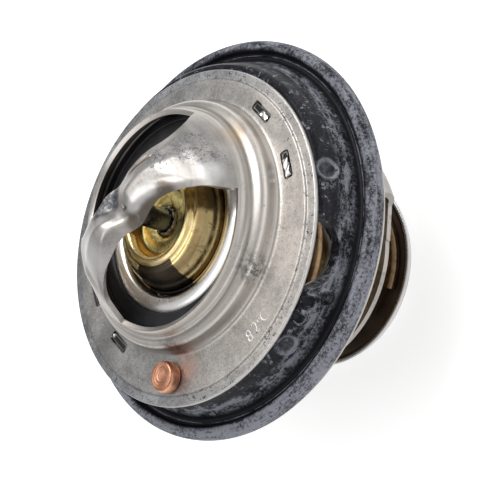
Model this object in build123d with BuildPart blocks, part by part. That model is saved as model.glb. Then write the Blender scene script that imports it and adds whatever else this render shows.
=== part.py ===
from build123d import *
import math
import os

# Engine thermostat, bridge type, with a bypass disc, a moulded seal ring and a jiggle pin.
# Millimetres. +Z is the axis, from the bypass disc at the rear to the bridge at the front.
# X runs along the bridge. The origin is on the axis, at the rear face of the bypass disc.

os.makedirs("parts", exist_ok=True)

# ---- fits and clearances ----
running_gap = 0.04        # piston in its gland
guide_gap = 0.08          # capsule in the cage hole
stem_gap = 0.08           # bypass disc on its stem
press_gap = 0.02          # pressed and crimped pieces of one body
mould_gap = 0.03          # rubber round its metal
rest_gap = 0.05           # one face resting on another
tab_gap = 0.3             # tab in its slot

# ---- upper frame: flange, collar and bridge, pressed from one sheet ----
sheet = 1.0               # sheet thickness
flange_z = 46.0           # front face of the flange
flange_radius = 33.5
flange_shift_x = -0.96    # the blank sits off the axis
flange_shift_y = -1.42
outer_band = 2.15         # joggled band outside the flat of the flange
step_drop = 0.4
collar_foot_radius = 25.05
shoulder_radius = 24.2
shoulder_rise = 3.25
neck_radius = 22.1
neck_rise = 4.2
crown_radius = 21.1
crown_rise = 6.5
dome_radius = 18.62
dome_rise = 9.75
dome_top_radius = 16.4
dome_top_rise = 11.65
press_radius = 0.6        # bend at the foot of the collar
window_radius = 21.15
strap_root = 17.2         # where the strap leaves the dome

# strap sections from the root to the middle: distance along X, half width, edge rise, crown rise
strap_sections = (
    (17.2, 8.2, 9.95, 11.95),
    (15.0, 7.0, 12.0, 14.2),
    (13.0, 6.2, 13.6, 15.85),
    (11.0, 5.7, 14.9, 17.0),
    (8.5, 5.4, 15.5, 17.75),
    (5.0, 5.4, 15.5, 17.9),
    (0.0, 5.35, 15.0, 16.9),
)
boss_radius = 3.7         # drawn collar that holds the piston tip
boss_rise = 12.3
pit_radius = 4.3
pit_floor_rise = 14.6

# ---- piston ----
piston_radius = 2.2
piston_top_rise = 14.8
piston_bottom_z = 17.0

# ---- cage: web, two legs and four tabs, pressed from one sheet ----
cage_sheet = 1.2
web_z = 13.0              # front face of the web
web_radius = 23.7
guide_lip = 1.1
guide_lip_rise = 1.2
leg_radius = 27.55        # middle of the leg sheet
leg_shift = -1.45         # the legs stand off the axis, as the slots do
leg_top_half = 9.55
leg_foot_half = 5.4
leg_bend = 3.0
gusset_x = 20.3
gusset_half = 11.2
tab_offset = 6.75         # tab middle from the middle of the leg
tab_width = 4.8
tab_sunk = 0.15           # tab ends lie below the flange face

# ---- seal ring and its steel carrier ----
carrier_sheet = 0.9
carrier_inner = 25.6
carrier_knee = 29.0
# (radius past the flange edge, rise over the flange face)
carrier_cone_top = (-2.2, -3.8)
carrier_cone_foot = (0.5, -12.55)
carrier_rim = 5.7
seal_top_inner = 29.9
seal_top = -0.4
skin_corner = (1.5, -6.0)
groove_foot = (2.9, -9.3)
bead_root = (3.8, -9.1)
bead_front = (4.9, -8.1)
bead_rim = 7.1
bead_front_rise = -9.1
bead_rear_rise = -11.0
bead_round = 1.2
inlet_angle = -50.0       # scalloped inlet in the skirt
inlet_radius = 6.4

# ---- valve ----
plate_sheet = 0.9
plate_hub = 14.8          # middle of the hub wall
plate_crest = (17.0, 2.75)
plate_edge = 21.6
plate_edge_rise = 1.85
rubber_inner = 17.6
rubber_top_rise = 3.35
rubber_flat = 22.2
rubber_radius = 23.4
rubber_chamfer = 0.5
rubber_side = 1.9
rubber_under_rise = 0.6
seat_ring_radius = 19.4
seat_ring_thick = 0.9

# ---- wax capsule ----
head_radius = 14.0
head_wall = 0.75
head_floor_z = 42.05
head_top_rise = 2.4
body_radius = 9.0
body_wall = 1.3
body_end_z = 9.5
body_end_wall = 3.2
cover_floor_rise = 5.0
cover_floor_radius = 6.7
cover_rim_inner = 7.2
cover_rim_radius = 9.2
cover_rim_rise = 7.7
cover_foot_z = 44.0
gland_wall = 0.75
gland_rise = 5.3
sleeve_wall = 0.95
sleeve_flange = 0.66

# ---- bypass valve ----
disc_sheet = 1.0
disc_radius = 21.0        # middle of the rim sheet
disc_rim_z = 2.15
disc_floor_radius = 20.3
disc_well = 13.0
disc_hub = 9.5
disc_hub_z = 2.9
stem_radius = 2.5
stem_end_z = 0.5
stem_collar = 4.2
stem_collar_thick = 0.8
clip_radius = 4.6
clip_thick = 0.9
clip_groove = 0.6

# ---- springs ----
main_wire = 1.3
main_turns = 3.0
main_foot_radius = 17.6
bypass_wire = 1.15
bypass_turns = 1.75
bypass_foot_radius = 17.4
bypass_top_radius = 6.4
bypass_start = -55.0
closed_turns = 0.6
coil_steps = 10

# ---- jiggle pin ----
jiggle_radius = 29.7
jiggle_angle = -126.5
jiggle_head = 3.1
jiggle_proud = 2.7
jiggle_shank = 1.5
jiggle_hole = 2.0
jiggle_weight = 2.35
jiggle_weight_top = -2.7      # rises over the flange face
jiggle_weight_end = -7.2
jiggle_pocket = 3.0


def coil_points(foot_radius, top_radius, foot_z, top_z, turns, start):
    """Points of a coil whose two ends are closed and lie flat on their seats."""
    whole = turns + 2 * closed_turns
    steps = round(whole * coil_steps)
    points = []
    for step in range(steps + 1):
        turn = whole * step / steps
        share = min(max((turn - closed_turns) / turns, 0), 1)
        ease = 0.6 * share + 0.4 * share * share * (3 - 2 * share)
        radius = foot_radius + (top_radius - foot_radius) * ease
        angle = math.radians(start + 360 * turn)
        height = foot_z + (top_z - foot_z) * ease
        points.append((radius * math.cos(angle), radius * math.sin(angle), height))
    return points


# ---- upper frame ----
flange_centre = (flange_shift_x, flange_shift_y)
flange_back_z = flange_z - sheet
step_radius = flange_radius - outer_band
collar_z = flange_z - sheet / 2
leg_middle = leg_shift
tab_spots = [(side * leg_radius, leg_middle + hand * tab_offset) for side in (1, -1) for hand in (1, -1)]
tab_spots = [(math.copysign(math.sqrt(x * x - y * y), x), y) for x, y in tab_spots]
tab_slots = [Location((x, y, 0), (0, 0, math.degrees(math.atan2(y, x)))) for x, y in tab_spots]
weight_top_z = flange_z + jiggle_weight_top
weight_end_z = flange_z + jiggle_weight_end
jiggle_spot = (
    jiggle_radius * math.cos(math.radians(jiggle_angle)),
    jiggle_radius * math.sin(math.radians(jiggle_angle)),
)

dome_path = (
    (shoulder_radius, flange_z + shoulder_rise),
    (neck_radius, flange_z + neck_rise),
    (crown_radius, flange_z + crown_rise),
    (dome_radius, flange_z + dome_rise),
    (dome_top_radius, flange_z + dome_top_rise),
)

with BuildPart() as bridge_frame:
    with BuildSketch(Plane.XZ):
        with BuildLine():
            Polyline(
                (collar_foot_radius + 2.0, collar_z),
                (collar_foot_radius + press_radius, collar_z),
                (collar_foot_radius, collar_z + press_radius / 2),
                *dome_path,
            )
        trace(line_width=sheet)
    revolve(axis=Axis.Z)
    # the dome stays only at the two roots of the strap
    with BuildSketch(Plane.XY.offset(flange_z + neck_rise)):
        Circle(window_radius)
    extrude(amount=20, mode=Mode.SUBTRACT)

with BuildPart() as dome_roots:
    with BuildSketch(Plane.XZ):
        with BuildLine():
            Polyline(*dome_path)
        trace(line_width=sheet)
    revolve(axis=Axis.Z)
    with BuildSketch(Plane.XY.offset(flange_z)) as root_plan:
        with BuildLine():
            Polyline(
                (strap_root, strap_sections[0][1]),
                (crown_radius - 0.6, strap_sections[0][1] + 2.6),
                (crown_radius + 1.2, strap_sections[0][1] + 3.4),
                (crown_radius + 1.2, -strap_sections[0][1] - 3.4),
                (crown_radius - 0.6, -strap_sections[0][1] - 2.6),
                (strap_root, -strap_sections[0][1]),
                close=True,
            )
        make_face()
        mirror(about=Plane.YZ)
    extrude(amount=20, mode=Mode.INTERSECT)

with BuildPart() as strap:
    for index, (along, half, edge, crown) in enumerate(strap_sections):
        before = strap_sections[max(index - 1, 0)]
        after = strap_sections[min(index + 1, len(strap_sections) - 1)]
        slope = (after[3] - before[3]) / (before[0] - after[0])
        depth = sheet * math.sqrt(1 + slope * slope)
        with BuildSketch(Plane.YZ.offset(along)):
            with BuildLine():
                outer = ThreePointArc(
                    (-half, flange_z + edge), (0, flange_z + crown), (half, flange_z + edge)
                )
                inner = ThreePointArc(
                    (-half, flange_z + edge - depth),
                    (0, flange_z + crown - depth),
                    (half, flange_z + edge - depth),
                )
                Line(outer @ 0, inner @ 0)
                Line(outer @ 1, inner @ 1)
            make_face()
    loft()
    mirror(about=Plane.YZ)
    with BuildSketch(Plane.XY.offset(flange_z + boss_rise)):
        Circle(boss_radius)
    extrude(amount=pit_floor_rise + 0.9 - boss_rise)
    with BuildSketch(Plane.XZ):
        with BuildLine():
            Polyline(
                (0, flange_z + pit_floor_rise),
                (piston_radius + press_gap, flange_z + pit_floor_rise),
                (pit_radius, flange_z + pit_floor_rise + 2.8),
                (0, flange_z + pit_floor_rise + 2.8),
                close=True,
            )
        make_face()
    revolve(axis=Axis.Z, mode=Mode.SUBTRACT)
    with BuildSketch(Plane.XY.offset(flange_z + boss_rise)):
        Circle(piston_radius + press_gap)
    extrude(amount=pit_floor_rise - boss_rise, mode=Mode.SUBTRACT)

with BuildPart() as bridge_flange:
    with BuildSketch(Plane.XY.offset(flange_back_z)):
        with Locations(flange_centre):
            Circle(step_radius)
        Circle(collar_foot_radius + 0.6, mode=Mode.SUBTRACT)
    extrude(amount=sheet)
    with BuildSketch(Plane.XY.offset(flange_back_z - step_drop)):
        with Locations(flange_centre):
            Circle(flange_radius)
            Circle(step_radius, mode=Mode.SUBTRACT)
    extrude(amount=sheet)
    add(bridge_frame.part)
    add(dome_roots.part)
    add(strap.part)
    with BuildSketch(Plane.XY.offset(flange_back_z - 1)):
        with Locations(*tab_slots):
            Rectangle(cage_sheet + 2 * tab_gap, tab_width + 2 * tab_gap)
        with Locations(jiggle_spot):
            Circle(jiggle_hole)
    extrude(amount=sheet + 2, mode=Mode.SUBTRACT)
bridge_flange.part.label = "bridge_flange"
export_step(bridge_flange.part, "parts/bridge_flange.step")

# ---- piston: steel pin pressed in the drawn collar of the bridge ----
piston_top_z = flange_z + piston_top_rise
with BuildPart() as piston:
    with BuildSketch(Plane.XY.offset(piston_bottom_z)):
        Circle(piston_radius)
    extrude(amount=piston_top_z - piston_bottom_z)
    chamfer(piston.edges().filter_by(GeomType.CIRCLE).sort_by(Axis.Z)[0], 0.5)
piston.part.label = "piston"
export_step(piston.part, "parts/piston.step")

# ---- seal carrier: steel ring clamped between the flange and the shoulders of the cage ----
carrier_z = flange_back_z - carrier_sheet / 2
carrier_path = (
    (carrier_inner, carrier_z),
    (carrier_knee, carrier_z),
    (flange_radius + carrier_cone_top[0], flange_z + carrier_cone_top[1]),
    (flange_radius + carrier_cone_foot[0], flange_z + carrier_cone_foot[1]),
    (flange_radius + carrier_rim, flange_z + carrier_cone_foot[1]),
)
carrier_foot_z = flange_z + carrier_cone_foot[1]
inlet_plane = Plane(
    origin=(0, 0, flange_z),
    x_dir=(-math.sin(math.radians(inlet_angle)), math.cos(math.radians(inlet_angle)), 0),
    z_dir=(math.cos(math.radians(inlet_angle)), math.sin(math.radians(inlet_angle)), 0),
)
with BuildPart() as seal_carrier:
    with BuildSketch(Plane.XZ):
        with BuildLine():
            Polyline(*carrier_path)
        trace(line_width=carrier_sheet)
    revolve(axis=Axis.Z)
    with BuildSketch(Plane.XY.offset(carrier_z - 2)):
        with Locations(*tab_slots):
            Rectangle(cage_sheet + 2 * tab_gap, tab_width + 2 * tab_gap)
    extrude(amount=4, mode=Mode.SUBTRACT)
    with BuildSketch(Plane.XY.offset(carrier_foot_z)):
        with Locations(jiggle_spot):
            Circle(jiggle_pocket)
    extrude(amount=20, mode=Mode.SUBTRACT)
    with BuildSketch(inlet_plane.offset(carrier_knee - 1)):
        Circle(inlet_radius)
    extrude(amount=flange_radius + carrier_rim - carrier_knee, mode=Mode.SUBTRACT)
seal_carrier.part.label = "seal_carrier"
export_step(seal_carrier.part, "parts/seal_carrier.step")

# ---- seal ring: rubber moulded on the carrier ----
carrier_face_z = carrier_foot_z + carrier_sheet / 2
bead_radius = flange_radius + bead_rim
cone_foot_radius = flange_radius + carrier_cone_foot[0]
with BuildPart() as carrier_print:
    with BuildSketch(Plane.XZ):
        with BuildLine():
            Polyline(*carrier_path)
        trace(line_width=carrier_sheet + 2 * mould_gap)
    revolve(axis=Axis.Z)

with BuildPart() as seal_ring:
    with BuildSketch(Plane.XZ):
        with BuildLine():
            Polyline(
                (seal_top_inner, carrier_z - 0.6),
                (seal_top_inner, flange_back_z - step_drop),
                (flange_radius + seal_top, flange_back_z - step_drop),
                (flange_radius + skin_corner[0], flange_z + skin_corner[1]),
                (flange_radius + groove_foot[0], flange_z + groove_foot[1]),
                (flange_radius + bead_root[0], flange_z + bead_root[1]),
                (flange_radius + bead_front[0], flange_z + bead_front[1]),
                (bead_radius - bead_round, flange_z + bead_front_rise + 0.9),
                (bead_radius, flange_z + bead_front_rise),
                (bead_radius, flange_z + bead_rear_rise),
                (bead_radius - bead_round, carrier_face_z + mould_gap),
                (cone_foot_radius + 0.3, carrier_face_z + mould_gap),
                (cone_foot_radius, carrier_face_z + mould_gap),
                (flange_radius + carrier_cone_top[0], flange_z + carrier_cone_top[1]),
                close=True,
            )
        make_face()
    revolve(axis=Axis.Z)
    add(carrier_print.part, mode=Mode.SUBTRACT)
    with BuildSketch(Plane.XY.offset(carrier_foot_z)):
        with Locations(jiggle_spot):
            Circle(jiggle_pocket)
    extrude(amount=20, mode=Mode.SUBTRACT)
    with BuildSketch(inlet_plane.offset(carrier_knee - 1)):
        Circle(inlet_radius)
    extrude(amount=flange_radius + carrier_rim - carrier_knee, mode=Mode.SUBTRACT)
seal_ring.part.label = "seal_ring"
export_step(seal_ring.part, "parts/seal_ring.step")

# ---- cage: web, legs and tabs ----
web_back_z = web_z - cage_sheet
shoulder_z = flange_back_z - carrier_sheet
with BuildPart() as cage:
    with BuildSketch(Plane.XZ):
        with BuildLine():
            FilletPolyline(
                (web_radius - 2, web_z - cage_sheet / 2),
                (leg_radius, web_z - cage_sheet / 2),
                (leg_radius, flange_z - tab_sunk),
                radius=leg_bend,
            )
        trace(line_width=cage_sheet)
    revolve(axis=Axis.Z)
    with BuildSketch(Plane.YZ):
        with BuildLine():
            Polyline(
                (leg_middle - leg_foot_half, web_back_z - 1),
                (leg_middle + leg_foot_half, web_back_z - 1),
                (leg_middle + leg_foot_half, web_z + leg_bend),
                (leg_middle + leg_top_half, shoulder_z - 9),
                (leg_middle + leg_top_half, shoulder_z),
                (leg_middle - leg_top_half, shoulder_z),
                (leg_middle - leg_top_half, shoulder_z - 9),
                (leg_middle - leg_foot_half, web_z + leg_bend),
                close=True,
            )
        make_face()
        with Locations(
            (leg_middle + tab_offset, shoulder_z),
            (leg_middle - tab_offset, shoulder_z),
        ):
            Rectangle(tab_width, 2 * (flange_z - tab_sunk - shoulder_z))
    extrude(amount=leg_radius + cage_sheet, both=True, mode=Mode.INTERSECT)
    with BuildSketch(Plane.XY.offset(web_back_z)):
        Circle(web_radius)
        with BuildLine():
            Polyline(
                (leg_radius - leg_bend, leg_middle + leg_foot_half),
                (gusset_x, leg_middle + gusset_half),
                (gusset_x, leg_middle - gusset_half),
                (leg_radius - leg_bend, leg_middle - leg_foot_half),
                close=True,
            )
        make_face()
        mirror(about=Plane.YZ)
    extrude(amount=cage_sheet)
    with BuildSketch(Plane.XY.offset(web_back_z)):
        Circle(body_radius + guide_gap + guide_lip)
    extrude(amount=cage_sheet + guide_lip_rise)
    with BuildSketch(Plane.XY.offset(web_back_z)):
        Circle(body_radius + guide_gap)
    extrude(amount=cage_sheet + guide_lip_rise, mode=Mode.SUBTRACT)
cage.part.label = "cage"
export_step(cage.part, "parts/cage.step")

# ---- wax capsule ----
head_top_z = flange_z + head_top_rise
chamber_radius = body_radius - body_wall
chamber_z = body_end_z + body_end_wall
socket_z = chamber_z - 0.8
sleeve_z = cover_foot_z - sleeve_flange
with BuildPart() as capsule_cup:
    with BuildSketch(Plane.XZ):
        with BuildLine():
            Polyline(
                (0, body_end_z),
                (body_radius - 0.8, body_end_z),
                (body_radius, body_end_z + 0.8),
                (body_radius, head_floor_z),
                (head_radius, head_floor_z),
                (head_radius, head_top_z - 0.5),
                (head_radius - 0.3, head_top_z),
                (head_radius - head_wall, head_top_z),
                (head_radius - head_wall, sleeve_z),
                (chamber_radius, sleeve_z),
                (chamber_radius, chamber_z),
                (0, chamber_z),
                close=True,
            )
        make_face()
    revolve(axis=Axis.Z)
    with BuildSketch(Plane.XY.offset(body_end_z)):
        Circle(stem_radius + press_gap)
    extrude(amount=socket_z - body_end_z, mode=Mode.SUBTRACT)
capsule_cup.part.label = "capsule_cup"
export_step(capsule_cup.part, "parts/capsule_cup.step")

gland_inner = piston_radius + running_gap
gland_outer = gland_inner + gland_wall
cover_radius = head_radius - head_wall - press_gap
with BuildPart() as capsule_cover:
    with BuildSketch(Plane.XZ):
        with BuildLine():
            Polyline(
                (gland_outer + press_gap, cover_foot_z),
                (cover_radius, cover_foot_z),
                (cover_radius, head_top_z),
            )
            Spline(
                (cover_radius, head_top_z),
                (cover_radius - 0.75, flange_z + 4.6),
                (cover_radius - 2.3, flange_z + 6.7),
                (cover_rim_radius, flange_z + cover_rim_rise),
            )
            Polyline(
                (cover_rim_radius, flange_z + cover_rim_rise),
                (cover_rim_radius - 1.0, flange_z + cover_rim_rise),
                (cover_rim_inner, flange_z + cover_rim_rise - 0.8),
                (cover_floor_radius, flange_z + cover_floor_rise),
                (gland_outer + press_gap, flange_z + cover_floor_rise),
                (gland_outer + press_gap, cover_foot_z),
            )
        make_face()
    revolve(axis=Axis.Z)
capsule_cover.part.label = "capsule_cover"
export_step(capsule_cover.part, "parts/capsule_cover.step")

with BuildPart() as piston_gland:
    with BuildSketch(Plane.XY.offset(cover_foot_z)):
        Circle(gland_outer)
        Circle(gland_inner, mode=Mode.SUBTRACT)
    extrude(amount=flange_z + gland_rise - cover_foot_z)
piston_gland.part.label = "piston_gland"
export_step(piston_gland.part, "parts/piston_gland.step")

# rubber sleeve: flange clamped under the cover, closed tube round the piston
with BuildPart() as piston_sleeve:
    with BuildSketch(Plane.XZ):
        with BuildLine():
            Polyline(
                (gland_inner, cover_foot_z),
                (cover_radius, cover_foot_z),
                (cover_radius, sleeve_z),
                (gland_inner + sleeve_wall, sleeve_z),
                (gland_inner + sleeve_wall, piston_bottom_z - sleeve_wall - press_gap),
                (0, piston_bottom_z - sleeve_wall - press_gap),
                (0, piston_bottom_z - press_gap),
                (gland_inner, piston_bottom_z - press_gap),
                close=True,
            )
        make_face()
    revolve(axis=Axis.Z)
piston_sleeve.part.label = "piston_sleeve"
export_step(piston_sleeve.part, "parts/piston_sleeve.step")

with BuildPart() as wax_filling:
    with BuildSketch(Plane.XZ):
        with BuildLine():
            Polyline(
                (0, chamber_z),
                (chamber_radius - press_gap, chamber_z),
                (chamber_radius - press_gap, sleeve_z),
                (gland_inner + sleeve_wall + press_gap, sleeve_z),
                (gland_inner + sleeve_wall + press_gap, piston_bottom_z - sleeve_wall - 2 * press_gap),
                (0, piston_bottom_z - sleeve_wall - 2 * press_gap),
                close=True,
            )
        make_face()
    revolve(axis=Axis.Z)
wax_filling.part.label = "wax_filling"
export_step(wax_filling.part, "parts/wax_filling.step")

# ---- valve plate: one pressing, a hub round the capsule head and an outer ring ----
plate_path = (
    (body_radius + plate_sheet / 2 + 0.3, head_floor_z - plate_sheet / 2),
    (plate_hub, head_floor_z - plate_sheet / 2),
    (plate_hub, flange_z + plate_crest[1] + 0.35),
    (plate_crest[0], flange_z + plate_crest[1]),
    (plate_crest[0] + 0.95, flange_z + plate_edge_rise),
    (plate_edge, flange_z + plate_edge_rise),
)
with BuildPart() as valve_plate:
    with BuildSketch(Plane.XZ):
        with BuildLine():
            Polyline(*plate_path)
        trace(line_width=plate_sheet)
    revolve(axis=Axis.Z)
valve_plate.part.label = "valve_plate"
export_step(valve_plate.part, "parts/valve_plate.step")

with BuildPart() as plate_print:
    with BuildSketch(Plane.XZ):
        with BuildLine():
            Polyline(*plate_path)
        trace(line_width=plate_sheet + 2 * mould_gap)
    revolve(axis=Axis.Z)

with BuildPart() as valve_rubber:
    with BuildSketch(Plane.XZ):
        with BuildLine():
            Polyline(
                (rubber_inner, flange_z + rubber_top_rise),
                (rubber_flat, flange_z + rubber_top_rise),
                (rubber_radius, flange_z + rubber_top_rise - rubber_chamfer),
                (rubber_radius, flange_z + rubber_side - 0.8),
                (rubber_radius - 0.5, flange_z + rubber_under_rise),
                (rubber_inner + 0.6, flange_z + rubber_under_rise),
                (rubber_inner + 0.6, flange_z + plate_edge_rise),
                (rubber_inner, flange_z + plate_edge_rise + 0.4),
                close=True,
            )
        make_face()
    revolve(axis=Axis.Z)
    add(plate_print.part, mode=Mode.SUBTRACT)
valve_rubber.part.label = "valve_rubber"
export_step(valve_rubber.part, "parts/valve_rubber.step")

spring_seat_z = flange_z + rubber_under_rise - seat_ring_thick
with BuildPart() as spring_seat:
    with BuildSketch(Plane.XY.offset(spring_seat_z)):
        Circle(seat_ring_radius)
        Circle(plate_hub + plate_sheet / 2 + mould_gap, mode=Mode.SUBTRACT)
    extrude(amount=seat_ring_thick)
    chamfer(spring_seat.edges().filter_by(GeomType.CIRCLE).sort_by(Axis.Z)[0:1], 0.2)
spring_seat.part.label = "spring_seat"
export_step(spring_seat.part, "parts/spring_seat.step")

# ---- springs ----
main_top_radius = plate_hub + plate_sheet / 2 + main_wire + 1.1
main_points = coil_points(
    main_foot_radius,
    main_top_radius,
    web_z + main_wire + rest_gap,
    spring_seat_z - main_wire - rest_gap,
    main_turns,
    0,
)
with BuildPart() as main_spring:
    with BuildLine() as main_path:
        Polyline(*main_points)
    with BuildSketch(Plane(origin=main_path.line @ 0, z_dir=main_path.line % 0)):
        Circle(main_wire)
    sweep(transition=Transition.RIGHT)
main_spring.part.label = "main_spring"
export_step(main_spring.part, "parts/main_spring.step")

bypass_top_z = body_end_z - bypass_wire - rest_gap
bypass_points = coil_points(
    bypass_foot_radius,
    bypass_top_radius,
    disc_sheet + bypass_wire + rest_gap,
    bypass_top_z,
    bypass_turns,
    bypass_start,
)
with BuildPart() as bypass_spring:
    with BuildLine() as bypass_path:
        Polyline(*bypass_points)
    with BuildSketch(Plane(origin=bypass_path.line @ 0, z_dir=bypass_path.line % 0)):
        Circle(bypass_wire)
    sweep(transition=Transition.RIGHT)
bypass_spring.part.label = "bypass_spring"
export_step(bypass_spring.part, "parts/bypass_spring.step")

# ---- bypass stem, clip and disc ----
hub_face_z = disc_hub_z - disc_sheet / 2
clip_top_z = hub_face_z - rest_gap
clip_z = clip_top_z - clip_thick
groove_radius = stem_radius - clip_groove
with BuildPart() as bypass_stem:
    with BuildSketch(Plane.XY.offset(stem_end_z)):
        Circle(stem_radius)
    extrude(amount=socket_z - press_gap - stem_end_z)
    chamfer(bypass_stem.edges().filter_by(GeomType.CIRCLE).sort_by(Axis.Z)[0], 0.3)
    with BuildSketch(Plane.XY.offset(body_end_z - stem_collar_thick)):
        Circle(stem_collar)
    extrude(amount=stem_collar_thick)
    with BuildSketch(Plane.XY.offset(clip_z - press_gap)):
        Circle(stem_radius + 0.2)
        Circle(groove_radius, mode=Mode.SUBTRACT)
    extrude(amount=clip_thick + 2 * press_gap, mode=Mode.SUBTRACT)
bypass_stem.part.label = "bypass_stem"
export_step(bypass_stem.part, "parts/bypass_stem.step")

# retaining clip: open ring pushed in the groove from the side
with BuildPart() as stem_clip:
    with BuildSketch(Plane.XY.offset(clip_z)):
        Circle(clip_radius)
        Circle(groove_radius + press_gap, mode=Mode.SUBTRACT)
        with Locations((clip_radius, 0)):
            Rectangle(2 * clip_radius, 2 * groove_radius - 0.6, mode=Mode.SUBTRACT)
    extrude(amount=clip_thick)
stem_clip.part.label = "stem_clip"
export_step(stem_clip.part, "parts/stem_clip.step")

with BuildPart() as bypass_disc:
    with BuildSketch(Plane.XZ):
        with BuildLine():
            Polyline(
                (stem_radius + stem_gap, disc_hub_z),
                (disc_hub, disc_hub_z),
                (disc_well, disc_sheet / 2),
                (disc_floor_radius, disc_sheet / 2),
                (disc_radius, disc_rim_z),
            )
        trace(line_width=disc_sheet)
    revolve(axis=Axis.Z)
bypass_disc.part.label = "bypass_disc"
export_step(bypass_disc.part, "parts/bypass_disc.step")

# ---- jiggle pin: copper pin with its head on the flange, and the weight that holds it in ----
with BuildPart() as jiggle_pin:
    with BuildSketch(Plane.XY.offset(flange_z + rest_gap)):
        with Locations(jiggle_spot):
            Circle(jiggle_head)
    extrude(amount=jiggle_proud, taper=4)
    with BuildSketch(Plane.XY.offset(weight_end_z + 0.6)):
        with Locations(jiggle_spot):
            Circle(jiggle_shank)
    extrude(amount=flange_z + 0.5 - weight_end_z - 0.6)
jiggle_pin.part.label = "jiggle_pin"
export_step(jiggle_pin.part, "parts/jiggle_pin.step")

with BuildPart() as jiggle_bob:
    with BuildSketch(Plane.XY.offset(weight_end_z)):
        with Locations(jiggle_spot):
            Circle(jiggle_weight)
            Circle(jiggle_shank + press_gap, mode=Mode.SUBTRACT)
    extrude(amount=weight_top_z - weight_end_z)
    weight_foot = jiggle_bob.edges().filter_by(GeomType.CIRCLE).group_by(Axis.Z)[0]
    chamfer(weight_foot.sort_by(SortBy.RADIUS)[-1], 0.7)
jiggle_bob.part.label = "jiggle_bob"
export_step(jiggle_bob.part, "parts/jiggle_bob.step")
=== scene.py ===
import bpy
import bmesh
from math import atan2, ceil, cos, exp, hypot, pi, radians, sin, sqrt
import random
from mathutils import Matrix, Vector


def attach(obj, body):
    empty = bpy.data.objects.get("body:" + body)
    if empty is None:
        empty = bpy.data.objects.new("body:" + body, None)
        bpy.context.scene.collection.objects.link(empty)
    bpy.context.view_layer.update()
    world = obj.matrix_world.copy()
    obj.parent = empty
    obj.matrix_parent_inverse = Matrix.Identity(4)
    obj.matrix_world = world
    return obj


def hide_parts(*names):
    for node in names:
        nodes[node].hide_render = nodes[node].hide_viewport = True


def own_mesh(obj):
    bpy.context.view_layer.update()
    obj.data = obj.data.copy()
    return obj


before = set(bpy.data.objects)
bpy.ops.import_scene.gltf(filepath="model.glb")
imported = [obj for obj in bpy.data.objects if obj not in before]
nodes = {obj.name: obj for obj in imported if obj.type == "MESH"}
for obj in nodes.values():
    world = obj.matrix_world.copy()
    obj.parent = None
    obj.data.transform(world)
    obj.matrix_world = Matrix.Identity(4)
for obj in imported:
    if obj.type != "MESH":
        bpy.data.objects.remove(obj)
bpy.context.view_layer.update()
MM = 0.001
TURN = 2 * pi
face = 46.0                   # height of the flange face; the sizes below are in millimetres


# -------- shader lines
class Line:
    """A value on its way through a material. Python's operators add its Math nodes."""

    def __init__(self, tree, socket=None):
        self.tree = tree
        self.socket = socket

    def node(self, kind, values=None, settings=None, out=0):
        made = self.tree.nodes.new(kind)
        for name, value in (settings or {}).items():
            setattr(made, name, value)
        for name, value in (values or {}).items():
            if isinstance(value, Line):
                self.tree.links.new(value.socket, made.inputs[name])
            else:
                made.inputs[name].default_value = value
        return Line(self.tree, made.outputs[out] if made.outputs else None)

    def _math(self, operation, a, b=0.0):
        return self.node("ShaderNodeMath", {0: a, 1: b}, {"operation": operation})

    def __add__(self, other):
        return self._math("ADD", self, other)

    def __radd__(self, other):
        return self._math("ADD", other, self)

    def __sub__(self, other):
        return self._math("SUBTRACT", self, other)

    def __rsub__(self, other):
        return self._math("SUBTRACT", other, self)

    def __mul__(self, other):
        return self._math("MULTIPLY", self, other)

    def __truediv__(self, other):
        return self._math("DIVIDE", self, other)

    def __pow__(self, other):
        return self._math("POWER", self, other)

    def __abs__(self):
        return self._math("ABSOLUTE", self)

    def between(self, low, high, start=0.0, end=1.0):
        """Runs from start at low to end at high, and stays there beyond."""
        return self.node(
            "ShaderNodeMapRange",
            {"Value": self, "From Min": low, "From Max": high, "To Min": start, "To Max": end},
            {"interpolation_type": "SMOOTHSTEP"},
        )

    def swing(self, low=0.0, high=1.0):
        """Runs from low to high over the middle part of a noise."""
        return self.between(0.3, 0.7, low, high)

    def tint(self, one, two):
        """Colour one where this value is 0, colour two where it is 1."""
        settings = {"data_type": "RGBA", "clamp_factor": True}
        return self.node("ShaderNodeMix", {"Factor": self, 6: one, 7: two}, settings, out=2)

    def axis(self, index):
        """X, Y or Z of a place, for index 0, 1 or 2."""
        return self.node("ShaderNodeSeparateXYZ", {"Vector": self}, out=index)

    def polar(self):
        """Of a place: distance from the axis, angle about it in turns, and height."""
        x, y, z = (self.axis(index) for index in range(3))
        return (x * x + y * y) ** 0.5, self._math("ARCTAN2", y, x) / TURN, z

    def vector(self, operation, other, out=0):
        values = {0: self, 1: other}
        return self.node("ShaderNodeVectorMath", values, {"operation": operation}, out)

    def noise(self, scale, detail, rough, distortion=0.0):
        values = {"Scale": scale, "Detail": detail, "Roughness": rough, "Distortion": distortion}
        return self.node("ShaderNodeTexNoise", {"Vector": self, **values})

    def patch(self, spot, size, soft):
        """1 near a spot given in millimetres, 0 further away than its size."""
        gap = self.vector("DISTANCE", tuple(value * MM for value in spot), out=1)
        return gap.between(size * MM * (1 - soft), size * MM, 1.0, 0.0)

    def patches(self, *marks):
        """Patches over the flange face added up, each (x, y, rise, size, soft)."""
        made = [self.patch((x, y, face + rise), size, soft) for x, y, rise, size, soft in marks]
        return sum(made[1:], made[0])


def finish_of(name, build, metallic=0.0):
    """A material whose build(place) gives the values that change over the surface."""
    material = bpy.data.materials.new(name)
    material.use_nodes = True
    tree = material.node_tree
    tree.nodes.clear()
    line = Line(tree)
    values = build(line.node("ShaderNodeTexCoord", out=3))
    values.setdefault("Metallic", metallic)
    shader = line.node("ShaderNodeBsdfPrincipled", values)
    line.node("ShaderNodeOutputMaterial", {"Surface": shader})
    return material


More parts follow.
